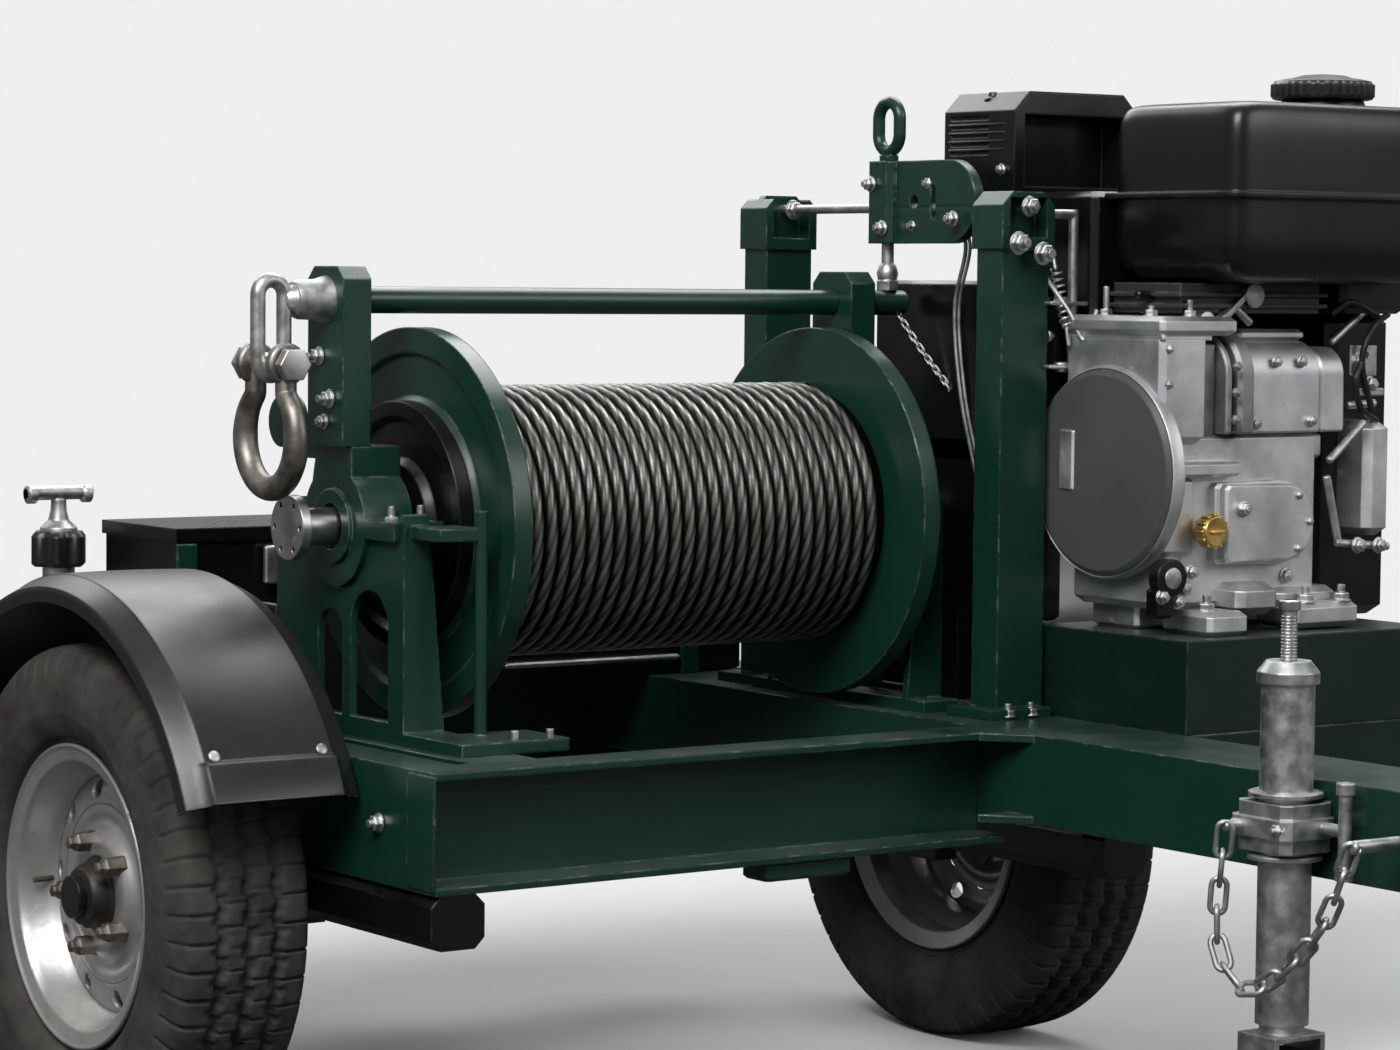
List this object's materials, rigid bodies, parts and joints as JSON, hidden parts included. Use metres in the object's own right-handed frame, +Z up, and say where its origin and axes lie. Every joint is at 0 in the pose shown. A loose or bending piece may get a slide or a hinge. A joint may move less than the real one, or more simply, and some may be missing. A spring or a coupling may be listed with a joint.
{
  "type": "trailer mounted engine driven rope winch",
  "caption": "Wire rope drum between pedestals on a two wheel trailer chassis with an engine beside the drawbar, lifting frame, jockey wheel and prop stand.",
  "frame": {"origin": "on the ground under the middle of the axle", "axes": "+X along the axle and the drum to the right, +Y to the rear, away from the towing eye, +Z up"},
  "size_m": [1.342, 1.744, 1.044],
  "materials": {
    "bare_steel": "machined steel",
    "black_enamel": "black enamel",
    "black_plastic": "moulded black plastic with a soft gloss",
    "brass": "dull brass",
    "cast_alloy": "cast alloy with a silver paint",
    "galvanised": "dull galvanised steel",
    "green_paint": "satin dark green machine enamel, worn at edges",
    "tyre_rubber": "dusty black rubber",
    "wheel_silver": "silver wheel paint with rust streaks",
    "wire_rope": "greased bright wire rope"
  },
  "bodies": {
    "chassis": {"air_cleaner": "black_enamel", "control_lever": "galvanised", "cylinder_head": "cast_alloy", "drawbar": "green_paint", "drive_guard": "black_enamel", "engine_bed": "green_paint", "engine_block": "cast_alloy", "flywheel_cover": "black_enamel", "front_channel": "green_paint", "front_post": "green_paint", "fuel_cap": "black_plastic", "fuel_tank": "black_enamel", "jockey_clamp": "galvanised", "jockey_tube": "galvanised", "left_bearer": "green_paint", "left_bearing": "green_paint", "left_mudguard": "black_plastic", "left_pedestal": "green_paint", "left_side_rail": "green_paint", "left_suspension": "black_enamel", "left_upright": "green_paint", "lifting_block": "green_paint", "lifting_eye": "green_paint", "lifting_rod": "galvanised", "link_rod": "galvanised", "muffler": "black_enamel", "oil_filler": "brass", "rear_box": "black_enamel", "rear_channel": "green_paint", "rear_post": "green_paint", "rear_prop_handle": "black_plastic", "rear_prop_leg": "galvanised", "rear_prop_socket": "green_paint", "right_bearing": "green_paint", "right_mudguard": "black_plastic", "right_pedestal": "green_paint", "right_side_rail": "green_paint", "right_suspension": "black_enamel", "right_upright": "green_paint", "safety_chain": "galvanised", "tie_bar": "green_paint", "towing_eye": "green_paint"},
    "drum": {"drum": "green_paint", "rope_pack": "wire_rope", "drum_shaft": "bare_steel", "brake_drum": "black_enamel"},
    "left_wheel": {"left_tyre": "tyre_rubber", "left_rim": "wheel_silver"},
    "right_wheel": {"right_tyre": "tyre_rubber", "right_rim": "wheel_silver"},
    "jockey_leg": {"jockey_fork": "galvanised"},
    "jockey_roller": {"jockey_wheel": "tyre_rubber"},
    "hook_shackle": {"shackle": "galvanised"}
  },
  "joints": [
    {"name": "drum_spin", "type": "hinge", "parent": "chassis", "child": "drum", "pos_m": [0, -0.088, 0.59], "axis": [1, 0, 0], "continuous": true},
    {"name": "left_wheel_spin", "type": "hinge", "parent": "chassis", "child": "left_wheel", "pos_m": [-0.518, 0, 0.24], "axis": [1, 0, 0], "continuous": true},
    {"name": "right_wheel_spin", "type": "hinge", "parent": "chassis", "child": "right_wheel", "pos_m": [0.518, 0, 0.24], "axis": [1, 0, 0], "continuous": true},
    {"name": "jockey_screw_slide", "type": "slide", "parent": "chassis", "child": "jockey_leg", "axis": [0, 0, -1], "range_m": [0, 0.15]},
    {"name": "jockey_wheel_spin", "type": "hinge", "parent": "jockey_leg", "child": "jockey_roller", "pos_m": [0.205, -0.82, 0.075], "axis": [1, 0, 0], "continuous": true},
    {"name": "shackle_swing", "type": "hinge", "parent": "chassis", "child": "hook_shackle", "pos_m": [-0.415, -0.088, 0.7453], "axis": [0, 1, 0], "range_deg": [0, 60]}
  ]
}
